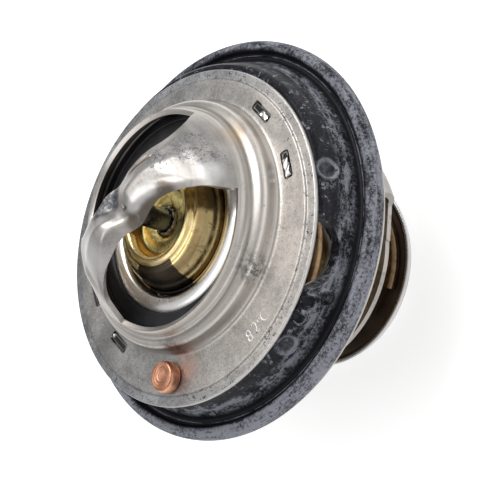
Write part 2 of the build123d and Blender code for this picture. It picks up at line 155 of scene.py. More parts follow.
def surface(colour, rough, height, strength, distance):
    """The values of a finish whose height makes a bump."""
    bump = {"Strength": strength, "Distance": distance, "Height": height}
    normal = height.node("ShaderNodeBump", bump)
    return {"Base Color": colour, "Roughness": rough, "Normal": normal}


def round_noise(spot, scales, detail, rough):
    """Noise that runs round the axis or out from it: scales by distance, angle and height."""
    radius, angle, z = (value * scale for value, scale in zip(spot, scales))
    place = radius.node("ShaderNodeCombineXYZ", {0: radius, 1: abs(angle), 2: z})
    return place.noise(1.0, detail, rough)


def shade(level, warm):
    """A grey, a little warmer for a positive second value and bluer for a negative one."""
    return (level * (1 + warm), level, level * (1 - warm), 1)


def flange_spot(radius, degrees, rise=0.0):
    """A point over the flange face, in millimetres."""
    angle = radians(degrees)
    return (radius * cos(angle), radius * sin(angle), face + rise)


# -------- finishes
# Places inside a finish are in metres. The spots of patches are in millimetres.
highlight_spots = (              # where a highlight is painted on the strap: x, y, rise and size
    (-11.8, -2.0, 15.6, 7.0),
    (8.0, -2.4, 16.3, 2.4),
    (6.0, -2.0, 16.6, 2.4),
    (4.0, -1.9, 16.6, 2.4),
    (2.2, -1.9, 16.4, 2.4),
)


def sector(angle, start, end, soft=2.0):
    """1 between two angles in degrees, for an angle in turns."""
    low, high, edge = start / 360, end / 360, soft / 360
    return angle.between(low - edge, low + edge) * angle.between(high + edge, high - edge)


def layered(colour, *layers):
    """A colour with others laid over it in turn, each (amount, colour)."""
    for amount, layer in layers:
        colour = amount.tint(colour, layer)
    return colour


def pressed_sheet(place):
    """Stainless sheet: satin and speckled on the flat, brushed at the foot of the collar."""
    spot = place.polar()
    radius, angle, z = spot
    x, y = place.axis(0), place.axis(1)
    cloud = place.noise(110, 4, 0.65)
    grain = place.noise(2600, 3, 0.8)
    dirt = place.noise(800, 5, 0.8)
    smear = place.noise(190, 5, 0.7, distortion=0.5)
    rays = round_noise(spot, (40, 90, 10), 4, 0.7)
    rings = round_noise(spot, (1300, 4, 1300), 3, 0.65)
    bands = round_noise(spot, (520, 1.5, 520), 2, 0.5)
    off_centre = place.vector("SUBTRACT", tuple(v * MM for v in (*flange_centre, 0)))
    own_radius = off_centre.polar()[0]
    outer = own_radius.between(0.0312, 0.0316)
    edge = own_radius.between(0.0332, 0.0334)
    flat = z.between(0.0466, 0.0461) * radius.between(0.025, 0.026)
    foot = flat * radius.between(0.0288, 0.0256) * smear.between(0.42, 0.6)
    dome = z.between(0.0516, 0.054)
    collar = (1 - flat) * (1 - dome)
    worn = place.patches(
        (16.8, 1.2, 11.8, 6.0, 0.8), (11.5, 1.5, 16, 4.5, 0.9), (18.6, -2.6, 10.2, 4.2, 0.9),
    )
    mottle = (dirt * 0.4 + grain * 0.42 + smear * 0.18).between(0.45, 0.56)
    mottled = worn.between(0, 1) * mottle
    hold = 0.2 + flat * 0.28 + outer * 0.6 + smear.between(0.5, 0.62) * 0.25
    speck = (dirt * 0.45 + grain * 0.55).between(0.5, 0.64) * (hold + worn * 0.75 - edge * 0.3)
    satin = (cloud * 0.4 + grain * 0.6).between(0.4, 0.6)
    # painted light: the flat is lighter and warmer towards +X and -Y, where the outer band also
    # gives way to it
    right = (x * 0.55 - y * 0.45).between(-0.002, 0.02)
    plain = right.tint(
        satin.tint(shade(0.25, 0.03), shade(0.47, 0.04)),
        satin.tint(shade(0.42, 0.06), shade(0.66, 0.08)),
    )
    outer_band = satin.tint((0.215, 0.22, 0.23, 1), (0.47, 0.475, 0.485, 1))
    # painted brownish reflection on the strap's near lip
    lip_reflection = place.patches(
        (9.3, -3.9, 14.6, 3.6, 0.6), (5.2, -3.5, 14.8, 3.2, 0.6), (0.8, -3.2, 14.0, 3.4, 0.6),
    )
    # painted shade in the hooked dent over the piston tip
    hook = place.patch((0.41, -0.11, face + 15.4), 1.0, 0.7)
    # painted bluish shade in the hollow along the strap's far side, broken up by noise
    hollow_shade = place.patches(
        (-1.4, 3.9, 15.4, 3.0, 0.6), (-4.4, 4.3, 15.2, 2.8, 0.6), (-7.2, 4.4, 15.4, 2.8, 0.7),
    )
    # painted highlight: pale patches on the strap's ridge, at its +X root and on its -X arm
    bright = place.patch((17.6, -5.6, face + 10.6), 4.2, 0.9)
    for spot_x, spot_y, rise, size in highlight_spots:
        bright = bright + place.patch((spot_x, spot_y, face + rise), size, 0.9) * 0.9
    # painted brown shade along a wrinkle on the strap's far side
    crease_shade = abs(y - 0.0039 + (x - 0.0053) * 0.096).between(0.00016, 0.0004, 1.0, 0.0)
    crease_shade = crease_shade * x.between(0.0045, 0.006) * x.between(0.0115, 0.01)
    # painted pinkish reflection of the copper pin on the flange
    pink_reflection = place.patch(flange_spot(27.7, -117), 4.5, 0.9)
    stain = place.patch(flange_spot(24.6, -119, 2.6), 4.2, 0.9) * dirt.between(0.4, 0.55)
    scuff = place.patch(flange_spot(24.2, -62, 2.4), 4.6, 0.9) * dirt.between(0.45, 0.52)
    # painted golden reflection of the brass dome on the collar
    brass_reflection = place.patch(flange_spot(22.6, 4, 4.4), 5.5, 0.9) * smear.between(0.4, 0.55)
    shaded_side = sector(angle, 106, 172, 7.0) * radius.between(0.0208, 0.0214) * (1 - flat)
    # painted highlight inside the stamped figures
    figure_highlight = z.between(0.04598, 0.04592) * z.between(0.04574, 0.0458)
    figure_highlight = figure_highlight * own_radius.between(0.0312, 0.0311)
    colour = layered(
        cloud.swing().tint(shade(0.42, 0.05), shade(0.56, 0.06)),
        # painted light: the collar lighter than the dome, as the reflection of the pale floor
        (collar * 0.65, shade(0.88, 0.07)),
        # painted brownish reflection bands round the collar
        (collar * bands.between(0.38, 0.62) * 0.8, (0.215, 0.195, 0.165, 1)),
        (rings.between(0.4, 0.62) * (0.4 - dome * 0.2), shade(0.24, 0.04)),
        (flat, plain),
        (outer * (0.88 - right * 0.72), outer_band),
        (foot * rays.between(0.5, 0.64) * 0.6, shade(0.7, 0.03)),
        (speck.between(0.0, 0.85), (0.045, 0.047, 0.056, 1)),
        # painted highlight along the flange's rim
        (edge * 0.75, shade(0.6, 0.03)),
        (mottled * 0.7, (0.165, 0.17, 0.19, 1)),
        (lip_reflection.between(0, 1) * smear.between(0.24, 0.46) * 0.88, (0.175, 0.143, 0.116, 1)),
        (hook * 0.9, (0.05, 0.043, 0.038, 1)),
        (hollow_shade.between(0, 1) * dirt.between(0.36, 0.54) * 0.85, (0.07, 0.08, 0.105, 1)),
        (bright.between(0, 1) * 0.75, shade(0.88, 0.02)),
        (crease_shade * dome * 0.95, (0.13, 0.085, 0.045, 1)),
        (pink_reflection * 0.45, (0.62, 0.38, 0.3, 1)),
        (stain * 0.8, (0.16, 0.09, 0.07, 1)),
        (scuff * 0.75, shade(0.08, -0.06)),
        (brass_reflection * 0.6, (0.42, 0.31, 0.2, 1)),
        (shaded_side * (0.78 + speck * 0.2), (0.135, 0.128, 0.12, 1)),
        (figure_highlight * radius.between(0.0278, 0.028), shade(0.95, 0.01)),
    )
    rough = cloud.swing(0.29, 0.4) + grain * 0.1 + flat * 0.07 + speck * 0.2 - edge * 0.1
    height = grain * 0.8 + rings * 0.4 + foot * rays * 0.6 - speck * 0.9 + smear * 0.8
    return surface(colour, rough, height, 0.42, 0.00006)


def plain_stainless(place):
    cloud = place.noise(90, 4, 0.6)
    grain = place.noise(1200, 3, 0.7)
    stain = place.noise(420, 5, 0.8).between(0.54, 0.62)
    colour = cloud.swing().tint(shade(0.31, 0.06), shade(0.45, 0.07))
    colour = (stain * 0.35).tint(colour, (0.12, 0.11, 0.1, 1))
    rough = cloud.swing(0.26, 0.38) + grain * 0.08
    return surface(colour, rough, grain + stain, 0.25, 0.00005)


def drawn_disc(place):
    """Stainless, brown inside the disc and bare on its rim."""
    spot = place.polar()
    cloud = place.noise(120, 4, 0.6)
    rings = round_noise(spot, (700, 2, 700), 3, 0.6)
    brown_inside = spot[0].between(0.0209, 0.0206) * spot[2].between(0.0002, 0.0006)
    bare = cloud.swing().tint(shade(0.5, 0.01), shade(0.64, 0.02))
    brown = (cloud * 0.5 + rings * 0.5).between(0.4, 0.65)
    brown = brown.tint((0.15, 0.12, 0.094, 1), (0.26, 0.205, 0.16, 1))
    colour = brown_inside.between(0, 1).tint(bare, brown)
    return {"Base Color": colour, "Roughness": cloud.swing(0.2, 0.3) + brown_inside * 0.22}


def polished(place):
    """Turned plate: bright on its crest, with painted shade inside it and fine tool rings."""
    spot = place.polar()
    rings = round_noise(spot, (2500, 2, 900), 2, 0.5)
    cloud = place.noise(140, 3, 0.5)
    colour = cloud.swing().tint(shade(0.88, 0.01), shade(0.96, 0.02))
    # painted shade: darker and bluer inside the crest
    colour = (spot[0].between(0.0152, 0.0146) * 0.3).tint(colour, (0.18, 0.19, 0.21, 1))
    return surface(colour, cloud.swing(0.22, 0.32), rings, 0.15, 0.00004)


def dark_steel(place):
    cloud = place.noise(300, 3, 0.6)
    colour = cloud.swing().tint((0.07, 0.085, 0.12, 1), (0.18, 0.2, 0.25, 1))
    return {"Base Color": colour, "Roughness": cloud.swing(0.18, 0.34)}


def clinched(place):
    """Tab ends: painted shade where they lie low, a painted highlight where they are curled up."""
    cloud = place.noise(900, 4, 0.7)
    lift = (place.axis(2) + (cloud - 0.5) * 0.0002).between(0.04592, 0.04622)
    # painted shade low in the slots, painted highlight on the curled ends
    colour = lift.tint(shade(0.055, 0.02), shade(0.78, 0.04))
    return {"Base Color": colour, "Roughness": cloud.swing(0.2, 0.36)}


def brass(place):
    """Drawn brass, worn bright, with painted shadow in its corners and painted reflection bands
    round the dome.
    """
    spot = place.polar()
    radius, angle, z = spot
    cloud = place.noise(170, 5, 0.6)
    bands = round_noise(spot, (900, 2.5, 500), 3, 0.6)
    mottle = place.noise(520, 5, 0.75, distortion=0.6)
    stain = place.noise(330, 5, 0.75, distortion=0.8).between(0.56, 0.66)
    floor = radius.between(0.0068, 0.0064) * z.between(0.05, 0.0506)
    wall = radius.between(0.0064, 0.0068) * radius.between(0.0077, 0.0074)
    dome = radius.between(0.0094, 0.0098)
    stray = angle + (mottle - 0.5) * 0.035
    # near black over the dome's outer part, from -152 to -98 degrees
    dark_sector = (sector(stray, -152, -98) * radius.between(0.0092, 0.0096)).between(0.35, 0.65)
    dark = floor * mottle.between(0.48, 0.56) * radius.between(0.003, 0.0062, 1.0, 0.55)
    # painted shadow in the corner between the floor and its wall
    corner = radius.between(0.006, 0.0065) * radius.between(0.0069, 0.0066)
    colour = layered(
        cloud.swing().tint((0.64, 0.47, 0.19, 1), (0.88, 0.71, 0.38, 1)),
        (floor * 0.8, (0.72, 0.6, 0.22, 1)),
        (wall * 0.7, (0.66, 0.36, 0.07, 1)),
        # painted brown reflection bands round the dome, which also give a slight bump
        (dome * bands.between(0.46, 0.62) * 0.48, (0.3, 0.175, 0.085, 1)),
        # painted shade on the dome's outer slope
        (radius.between(0.0124, 0.0134) * dome * 0.55, (0.12, 0.075, 0.034, 1)),
        (dark_sector * 0.93, (0.028, 0.024, 0.026, 1)),
        ((dark + stain * 0.5) * 0.7, (0.13, 0.095, 0.03, 1)),
        (corner * 0.8, (0.05, 0.035, 0.015, 1)),
    )
    rough = cloud.swing(0.17, 0.28) + stain * 0.22 + floor * 0.12 + dark_sector * 0.1
    return surface(colour, rough, bands * 0.6 + stain + dark * 0.8, 0.2, 0.00006)


def gland_bronze(place):
    mottle = place.noise(900, 4, 0.7)
    colour = mottle.between(0.42, 0.6).tint((0.035, 0.032, 0.036, 1), (0.46, 0.4, 0.3, 1))
    return {"Base Color": colour, "Roughness": mottle.swing(0.18, 0.4)}


def tinted_wire(place):
    """Spring wire, tempered brown, painted darker and greener towards its top turn as shade under
    the flange.
    """
    cloud = place.noise(160, 4, 0.65)
    drawn = place.noise(900, 3, 0.7)
    # painted shade: the wire darker and greener high up under the flange
    shaded_upper = place.axis(2).between(0.036, 0.042)
    low = shaded_upper.tint((0.14, 0.088, 0.048, 1), (0.08, 0.056, 0.018, 1))
    high = shaded_upper.tint((0.3, 0.2, 0.115, 1), (0.175, 0.124, 0.042, 1))
    colour = (cloud * 0.6 + drawn * 0.4).between(0.38, 0.62).tint(low, high)
    return surface(colour, cloud.swing(0.22, 0.32) + drawn * 0.08, drawn, 0.25, 0.00005)


def seal_rubber(place):
    """Moulded rubber, navy black and dusty on its ridges and scuffs, with painted highlights on
    the ridge's crest and on the bead's lower side.
    """
    spot = place.polar()
    radius = spot[0]
    cloud = place.noise(260, 6, 0.76, distortion=0.4)
    fine = place.noise(1900, 4, 0.8)
    chalk = place.noise(480, 5, 0.8, distortion=0.9)
    streaks = round_noise(spot, (800, 45, 800), 5, 0.7)
    bead = radius.between(0.038, 0.039)
    ridge = radius.between(0.0346, 0.0351) * radius.between(0.0364, 0.0356)
    skin = radius.between(0.0351, 0.0345)
    parting = radius.between(0.03712, 0.03722) * radius.between(0.03742, 0.03734)
    # painted light: the bead lighter towards -X and -Y, its lower side in view
    lit_lower_side = place.axis(0) * -0.67 - place.axis(1) * 0.74
    lit_lower_side = lit_lower_side.between(0.002, 0.034)
    hold = 0.11 + bead * (0.84 + lit_lower_side * 0.5) + ridge * 0.76 + skin * 0.1 + parting * 0.6
    dust_and_sheen = (cloud * 0.2 + streaks * 0.38 + fine * 0.42).between(0.41, 0.61) * hold
    scuff = chalk.between(0.54, 0.62) * cloud.between(0.44, 0.56)
    scuff = scuff * (skin * 0.85 + ridge * 0.8 + bead * 0.25)
    # dust along the ridge's crest, with a painted highlight there too
    crest = radius.between(0.0348, 0.0351) * radius.between(0.0356, 0.0353)
    crest = crest * streaks.between(0.48, 0.58)
    dust_and_sheen = dust_and_sheen + scuff + bead * (0.1 + lit_lower_side * 0.16) + crest * 0.5
    dust_and_sheen = dust_and_sheen + parting * streaks.between(0.4, 0.54) * 0.35
    for mark in pin_marks:
        disc = place.patch(flange_spot(*mark), 2.6, 0.35)
        crater = place.patch(flange_spot(*mark), 1.9, 0.3)
        dust_and_sheen = dust_and_sheen + disc * (1 - crater * 0.75) * chalk.between(0.32, 0.5) * 0.85
    inlet = place.patch(flange_spot(36.0, -50), 9.4, 0.22)
    inlet = inlet * place.patch(flange_spot(36.0, -62, -7), 11, 0.5)
    dust_and_sheen = (dust_and_sheen + inlet * chalk.between(0.42, 0.6) * 0.7).between(0.0, 1.05)
    colour = dust_and_sheen.tint((0.0055, 0.0056, 0.009, 1), (0.25, 0.255, 0.29, 1))
    height = fine * 0.5 + cloud * 0.8 + chalk * 0.5
    made = surface(colour, dust_and_sheen.between(0, 0.6, 0.4, 0.8), height, 0.5, 0.00012)
    return {**made, "Specular IOR Level": 0.15}


def valve_rubber(place):
    cloud = place.noise(200, 4, 0.6)
    rings = round_noise(place.polar(), (1500, 2, 900), 3, 0.6)
    colour = cloud.between(0.35, 0.7).tint((0.007, 0.007, 0.009, 1), (0.017, 0.017, 0.021, 1))
    made = surface(colour, cloud.swing(0.4, 0.52), rings, 0.15, 0.00005)
    return {**made, "Specular IOR Level": 0.35}


def copper(place):
    """Turned copper: tool rings about the middle of the pin's head."""
    own_place = place.vector("SUBTRACT", tuple(v * MM for v in pin_turning))
    rings = round_noise(own_place.polar(), (3600, 3, 900), 2, 0.6)
    cloud = place.noise(500, 3, 0.6)
    colour = cloud.swing().tint((0.55, 0.255, 0.155, 1), (0.78, 0.41, 0.265, 1))
    colour = (rings.between(0.45, 0.65) * 0.5).tint(colour, (0.24, 0.085, 0.05, 1))
    return surface(colour, cloud.swing(0.34, 0.46), rings, 0.4, 0.00006)


def plain_wax(place):
    cloud = place.noise(400, 4, 0.6)
    colour = cloud.tint((0.7, 0.6, 0.36, 1), (0.82, 0.74, 0.5, 1))
    return {"Base Color": colour, "Roughness": cloud * 0.2 + 0.5}


pin_place = flange_spot(29.7, -126.5)
flange_centre = (-0.96, -1.42)
# ejector marks in the rubber: radius, degrees and rise
pin_marks = ((34.1, -22.8, -3.4), (34.5, -79.5, -4.3), (34.3, 141.0, -4.3))
pin_turning = (pin_place[0] + 0.45, pin_place[1] + 0.35, face)
sheet_finish = finish_of("pressed stainless", pressed_sheet, 1.0)
bare_finish = finish_of("plain stainless", plain_stainless, 1.0)
disc_finish = finish_of("drawn disc", drawn_disc, 1.0)
polished_finish = finish_of("polished plate", polished, 1.0)
steel_finish = finish_of("dark steel", dark_steel, 1.0)
brass_finish = finish_of("worn brass", brass, 1.0)
wire_finish = finish_of("tinted wire", tinted_wire, 1.0)
gland_finish = finish_of("gland bronze", gland_bronze, 1.0)
clinched_finish = finish_of("clinched tab", clinched, 1.0)
seal_finish = finish_of("dusty seal rubber", seal_rubber)
pad_finish = finish_of("valve pad rubber", valve_rubber)
copper_finish = finish_of("turned copper", copper, 1.0)
wax_finish = finish_of("wax", plain_wax)


def dress(piece, finish, sharp=30):
    piece.data.materials.clear()
    piece.data.materials.append(finish)
    for polygon in piece.data.polygons:
        polygon.use_smooth = True
    piece.data.set_sharp_from_angle(angle=radians(sharp))


for finish, node_names in (
    (sheet_finish, "bridge_flange"),
    (bare_finish, "seal_carrier cage spring_seat"),
    (disc_finish, "bypass_disc"),
    (polished_finish, "valve_plate"),
    (steel_finish, "piston bypass_stem stem_clip"),
    (wire_finish, "main_spring bypass_spring"),
    (seal_finish, "seal_ring"),
    (pad_finish, "valve_rubber piston_sleeve"),
    (brass_finish, "capsule_cup capsule_cover"),
    (gland_finish, "piston_gland"),
    (copper_finish, "jiggle_pin jiggle_bob"),
    (wax_finish, "wax_filling"),
):
    for node_name in node_names.split():
        dress(nodes[node_name], finish)


# -------- meshes
def put(name, verts, faces, body, finish, *stands_for, slot=None, sharp=30):
    """Makes a piece from points in millimetres and sets it on its body."""
    mesh = bpy.data.meshes.new(name)
    mesh.from_pydata([(x * MM, y * MM, z * MM) for x, y, z in verts], [], faces)
    work = bmesh.new()
    work.from_mesh(mesh)
    bmesh.ops.remove_doubles(work, verts=work.verts, dist=1e-7)
    bmesh.ops.recalc_face_normals(work, faces=work.faces)
    work.to_mesh(mesh)
    work.free()
    piece = bpy.data.objects.new(name, mesh)
    bpy.context.scene.collection.objects.link(piece)
    dress(piece, finish, sharp)
    if body:
        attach(piece, body)
    if stands_for:
        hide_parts(*stands_for)
    return piece


def rounded(corners, steps):
    """An open outline whose corners (x, y, reach) become curves that start reach away."""
    most_reach = 0.48         # share of a side that one corner may take
    line = []
    for index, corner in enumerate(corners):
        reach = corner[2] if len(corner) > 2 else 0
        if not reach or index in (0, len(corners) - 1):
            line.append(corner[:2])
            continue
        here = Vector(corner[:2])
        ahead = Vector(corners[index + 1][:2]) - here
        behind = Vector(corners[index - 1][:2]) - here
        start = here + behind.normalized() * min(reach, behind.length * most_reach)
        end = here + ahead.normalized() * min(reach, ahead.length * most_reach)
        for step in range(steps + 1):
            t = step / steps
            point = start * (1 - t) ** 2 + here * 2 * t * (1 - t) + end * t * t
            line.append((point.x, point.y))
    return line


def divided(line, pitch):
    """The same outline with points no further apart than the pitch."""
    fine = [line[0]]
    for (x0, y0), (x1, y1) in zip(line, line[1:]):
        parts = max(1, ceil(hypot(x1 - x0, y1 - y0) / pitch))
        for k in range(1, parts + 1):
            fine.append((x0 + (x1 - x0) * k / parts, y0 + (y1 - y0) * k / parts))
    return fine


def lathe(outline, steps, shape=None, closed=True):
    """Points and faces of an outline (radius, height) turned about the axis."""
    verts, faces = [], []
    count = len(outline)
    for step in range(steps):
        angle = TURN * step / steps
        for radius, height in outline:
            if shape:
                radius, height = shape(radius, height, angle)
            verts.append((radius * cos(angle), radius * sin(angle), height))
    for step in range(steps):
        here, ahead = step * count, (step + 1) % steps * count
        for k in range(count if closed else count - 1):
            up = (k + 1) % count
            faces.append((here + k, ahead + k, ahead + up, here + up))
    return verts, faces


# -------- upper frame
# Flange, collar and strap are one pressing. Rises are over the flange face.
sheet = 1.0
collar_line = (
    (21.4, 7.0), (21.8, 6.25, 0.7), (22.45, 4.62, 0.7), (24.45, 3.72, 1.0), (25.15, 0.0, 0.9),
    (27.0, 0.0), (31.35, 0.0, 0.25), (31.6, -0.4, 0.25), (33.5, -0.42, 0.35),
    (33.5, -1.0),
)
root_half_turn = 32           # degrees of the collar's edge that run into each end of the strap
near_root_turn = 27

# strap sections along X, from end to end: near edge, near fold, middle, far fold and far edge,
# each as (across, rise)
strap_sections = (
    (17.3, (-8.3, 10.0), (-7.0, 10.7), (0.0, 12.1), (6.0, 11.1), (8.3, 10.0)),
    (15.0, (-6.9, 12.1), (-5.6, 12.9), (0.0, 14.4), (4.5, 13.4), (6.9, 12.1)),
    (13.0, (-6.05, 13.5), (-5.0, 14.4), (0.0, 15.8), (3.8, 15.0), (6.1, 13.6)),
    (11.0, (-5.3, 14.3), (-4.2, 15.5), (0.5, 16.9), (3.3, 16.2), (5.5, 15.3)),
    (9.0, (-4.6, 14.7), (-3.2, 16.2), (0.8, 17.5), (3.0, 16.8), (5.2, 16.1)),
    (7.0, (-4.2, 14.8), (-2.3, 16.4), (0.9, 17.9), (3.0, 17.1), (5.1, 16.3)),
    (5.0, (-4.1, 14.5), (-2.0, 16.6), (0.9, 18.0), (2.8, 17.0), (5.1, 16.2)),
    (3.0, (-4.1, 13.9), (-1.9, 16.6), (0.9, 17.9), (2.5, 16.9), (5.1, 15.7)),
    (1.0, (-4.1, 13.3), (-1.9, 15.9), (0.3, 16.4), (1.7, 16.9), (5.1, 15.3)),
    (0.0, (-4.1, 13.5), (-1.9, 15.5), (0.2, 15.6), (1.7, 16.3), (5.1, 15.5)),
    (-1.0, (-4.1, 13.9), (-2.0, 15.5), (0.0, 15.3), (2.2, 15.4), (5.1, 16.0)),
    (-2.0, (-4.1, 14.4), (-2.0, 16.1), (0.0, 15.6), (2.7, 14.9), (5.0, 16.3)),
    (-3.0, (-4.1, 14.9), (-2.0, 16.8), (-0.3, 16.7), (2.8, 14.8), (5.0, 16.3)),
    (-5.0, (-4.2, 14.9), (-2.3, 17.4), (-0.3, 17.9), (3.0, 15.7), (5.0, 15.9)),
    (-7.0, (-4.5, 14.6), (-2.9, 17.0), (0.0, 17.8), (3.2, 16.5), (5.1, 15.5)),
    (-9.0, (-4.9, 14.2), (-3.6, 16.0), (0.0, 17.2), (3.4, 16.2), (5.3, 15.0)),
    (-11.0, (-5.3, 13.9), (-4.3, 14.9), (0.0, 16.3), (3.8, 15.4), (5.6, 14.3)),
    (-13.0, (-5.9, 13.1), (-5.0, 13.9), (0.0, 15.2), (4.4, 14.2), (6.1, 13.2)),
    (-15.0, (-6.8, 12.1), (-5.8, 12.7), (0.0, 13.8), (5.0, 12.9), (7.0, 12.0)),
    (-17.3, (-8.3, 10.1), (-7.2, 10.6), (0.0, 11.9), (6.2, 11.1), (8.5, 10.1)),
)
dome_line = ((16.0, 12.7), (17.3, 11.7), (18.6, 10.45), (19.8, 9.05), (20.7, 7.95), (21.4, 7.0))


def straight(points, x):
    """Height at x of the broken line through the points."""
    if x <= points[0][0]:
        return points[0][1]
    for (x0, y0), (x1, y1) in zip(points, points[1:]):
        if x <= x1:
            return y0 + (y1 - y0) * (x - x0) / (x1 - x0)
    return points[-1][1]


def eased(points, x, reach):
    """The same line with its corners worn round over the reach."""
    samples = 9
    shifts = [reach * (2 * k / (samples - 1) - 1) for k in range(samples)]
    weights = [1 - abs(shift) / (reach * 1.15) for shift in shifts]
    return sum(w * straight(points, x + s) for w, s in zip(weights, shifts)) / sum(weights)


def smooth(low, high, x):
    """0 at low and 1 at high, with an even start and end."""
    t = min(max((x - low) / (high - low), 0), 1)
    return t * t * (3 - 2 * t)


sections_up = sorted(strap_sections)
section_tracks = [
    [[(section[0], section[1 + k][axis]) for section in sections_up] for axis in (0, 1)]
    for k in range(5)
]


def section_at(x):
    """The strap's five section points at x."""
    return [(eased(across, x, 1.0), eased(rise, x, 1.0)) for across, rise in section_tracks]


def line_gap(points, x, y):
    """Distance on plan from a broken line."""
    best = 99.0
    for (x0, y0), (x1, y1) in zip(points, points[1:]):
        along = ((x - x0) * (x1 - x0) + (y - y0) * (y1 - y0)) / ((x1 - x0) ** 2 + (y1 - y0) ** 2)
        along = min(max(along, 0), 1)
        best = min(best, hypot(x - x0 - along * (x1 - x0), y - y0 - along * (y1 - y0)))
    return best


# creases of the strap on plan: the one under the lip, and the far side's with their depths
lip_crease = ((6.6, -0.6), (8.6, -1.2), (10.8, -2.2), (12.6, -3.5), (13.6, -4.7), (14.3, -6.0))
wrinkles = (
    (((5.3, 3.9), (11.0, 3.35)), 0.2),
    (((6.5, 4.5), (10.2, 4.15)), 0.14),
    (((12.0, 3.6), (14.5, 4.3)), 0.1),
)


def strap_rise(x, y, section):
    """Height of the strap over the flange face."""
    near, far = section[0], section[-1]
    skirt = 1.5               # how far the section is carried on past its edges
    near_slope = (section[1][1] - near[1]) / (section[1][0] - near[0])
    far_slope = (section[3][1] - far[1]) / (far[0] - section[3][0])
    below = (near[0] - skirt, near[1] - skirt * near_slope)
    beyond = (far[0] + skirt, far[1] - skirt * far_slope)
    rise = eased([below, *section, beyond], y, 0.75)
    radius = hypot(x, y)
    rise += (straight(dome_line, radius) - rise) * smooth(16.2, 19.5, radius)
    # hooked mark over the piston tip
    dx, dy = x - 1.2, y - 0.2
    hook = hypot(dx, dy)
    hook_part = smooth(0.1, 0.7, -(dx * 0.93 + dy * 0.37) / (hook + 0.01))
    rise -= 0.32 * exp(-(((hook - 0.85) / 0.24) ** 2)) * hook_part
    # crease between the ridge and its lip, and the wrinkles of the far side
    rise -= 0.09 * exp(-((line_gap(lip_crease, x, y) / 0.5) ** 2))
    for wrinkle, depth in wrinkles:
        rise -= depth * exp(-((line_gap(wrinkle, x, y) / 0.2) ** 2))
    return rise


def corner_turn(side, turn):
    """Angle of the strap's corner on the collar: the near corner of the +X root is drawn in."""
    return near_root_turn if side > 0 and turn < 0 else root_half_turn


def drawn_in(degrees):
    """Moves the ring's points so that the drawn-in corner lands on one of them."""
    degrees = (degrees + 180) % 360 - 180
    if -root_half_turn <= degrees <= 0:
        return degrees * near_root_turn / root_half_turn
    if degrees < 0:
        drawn = root_half_turn - near_root_turn
        return degrees + drawn * (1 - smooth(root_half_turn, 72, -degrees))
    return degrees


def strap_grid(rows, columns):
    """Rows of top points from the +X root to the -X root, each from near edge to far edge."""
    window = collar_line[0][0]
    last_section = strap_sections[0][0]
    reach = 17.0
    parallel = 0.9            # share of the way out before the edges run to the root's corners
    grid = []
    for row in range(rows + 1):
        along = 1 - 2 * row / rows
        side = 1 if along >= 0 else -1
        away = abs(along)
        root = smooth(0.8, 1.0, away)
        section = section_at(side * min(away * reach / parallel, last_section))
        points = []
        for column in range(columns + 1):
            turn = root_half_turn * (2 * column / columns - 1)
            half_turn = radians(corner_turn(side, turn))
            turn = radians(drawn_in(turn) if side > 0 else turn)
            corner_x, corner_y = window * cos(half_turn), window * sin(half_turn)
            edge_x = away * reach / parallel
            if away >= parallel:
                edge_x = reach + (corner_x - reach) * (away - parallel) / 0.1
            middle_x = edge_x + (window - corner_x) * root ** 1.5
            edge_y = section[-1][0] if turn > 0 else -section[0][0]
            edge_y += (corner_y - edge_y) * root ** 2.5
            y = sin(turn) / sin(half_turn) * edge_y
            inward = (1 - cos(turn)) / (1 - cos(half_turn))
            x = side * (middle_x - (middle_x - edge_x) * inward)
            points.append((x, y, strap_rise(x, y, section)))
        grid.append(points)
    return grid


def under(grid):
    """Points a sheet thickness below a grid of top points, square to the surface."""
    rows, columns = len(grid), len(grid[0])
    low = []
    for r in range(rows):
        line = []
        for c in range(columns):
            ahead, behind = grid[min(r + 1, rows - 1)][c], grid[max(r - 1, 0)][c]
            right, left = grid[r][min(c + 1, columns - 1)], grid[r][max(c - 1, 0)]
            along = Vector(ahead) - Vector(behind)
            across = Vector(right) - Vector(left)
            normal = along.cross(across).normalized()
            if normal.z < 0:
                normal.negate()
            normal.z = max(normal.z, 0.55)
            line.append(tuple(Vector(grid[r][c]) - normal.normalized() * sheet))
        low.append(line)
    return low


def flange_rings(outline, steps):
    """The outline turned about the axis, and its outer part about the blank's own centre."""
    verts = []
    for step in range(steps):
        angle = radians(drawn_in(360 * step / steps))
        stretch = 0.65 * smooth(0.54, 0.97, abs(sin(angle)))
        for radius, rise in outline:
            shift = smooth(26.5, 30.5, radius)
            radius += stretch * smooth(24.6, 21.6, radius)
            verts.append((
                radius * cos(angle) + flange_centre[0] * shift,
                radius * sin(angle) + flange_centre[1] * shift,
                face + rise,
            ))
    return verts


